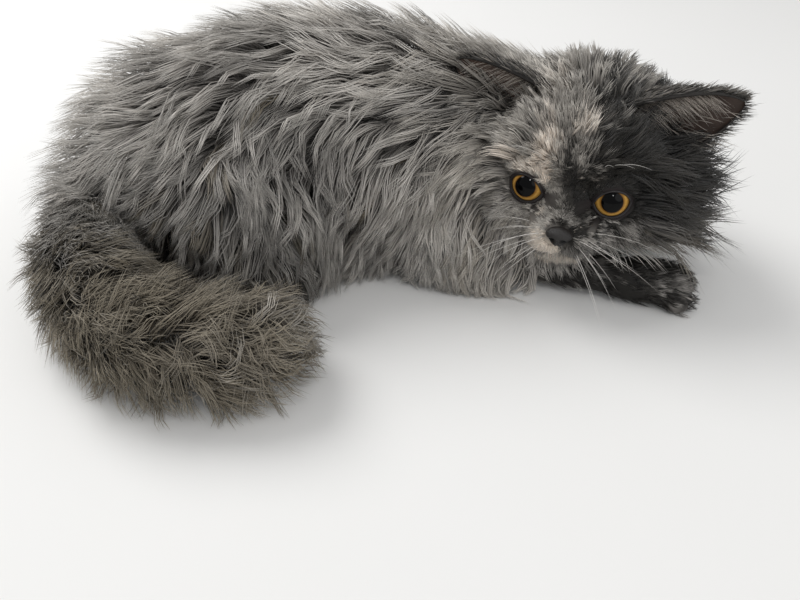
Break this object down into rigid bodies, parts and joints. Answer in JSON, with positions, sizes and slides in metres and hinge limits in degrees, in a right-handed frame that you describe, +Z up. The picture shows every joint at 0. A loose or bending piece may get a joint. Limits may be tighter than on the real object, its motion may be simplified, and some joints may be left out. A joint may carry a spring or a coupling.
{
  "type": "persian cat",
  "caption": "Life-size still model of a long-haired Persian cat that lies on its chest, head turned to its right and bushy tail curled forward.",
  "frame": {"origin": "middle of the model's box on the floor it lies on", "axes": "+X from the cat's rump to its shoulders, +Y to the cat's left side, +Z up"},
  "size_m": [0.393, 0.2564, 0.1415],
  "materials": {
    "body_fur": "long silvery grey coat in soft locks",
    "tail_fur": "long brownish grey coat in loose wavy locks",
    "face_fur": "short dark grey fur with cream patches, longer at the cheeks",
    "ear_fur": "short dark fur outside, thin skin and fine hairs in the cup",
    "leg_fur": "short dark grey fur",
    "nose_leather": "moist dark skin",
    "eye": "clear wet cornea over an amber iris and a round black pupil"
  },
  "bodies": {
    "root": {"head": "face_fur", "nose": "nose_leather", "eye_left": "eye", "eye_right": "eye", "ear_left": "ear_fur", "ear_right": "ear_fur", "neck": "body_fur", "chest": "body_fur", "abdomen": "body_fur", "rump": "body_fur", "tail_base": "tail_fur", "tail_middle": "tail_fur", "tail_tip": "tail_fur", "thigh_left": "body_fur", "thigh_right": "body_fur", "foreleg_left": "leg_fur", "foreleg_right": "leg_fur", "forepaw_left": "leg_fur", "forepaw_right": "leg_fur", "hindleg_left": "leg_fur", "hindleg_right": "leg_fur", "hindpaw_left": "leg_fur", "hindpaw_right": "leg_fur"}
  },
  "joints": []
}
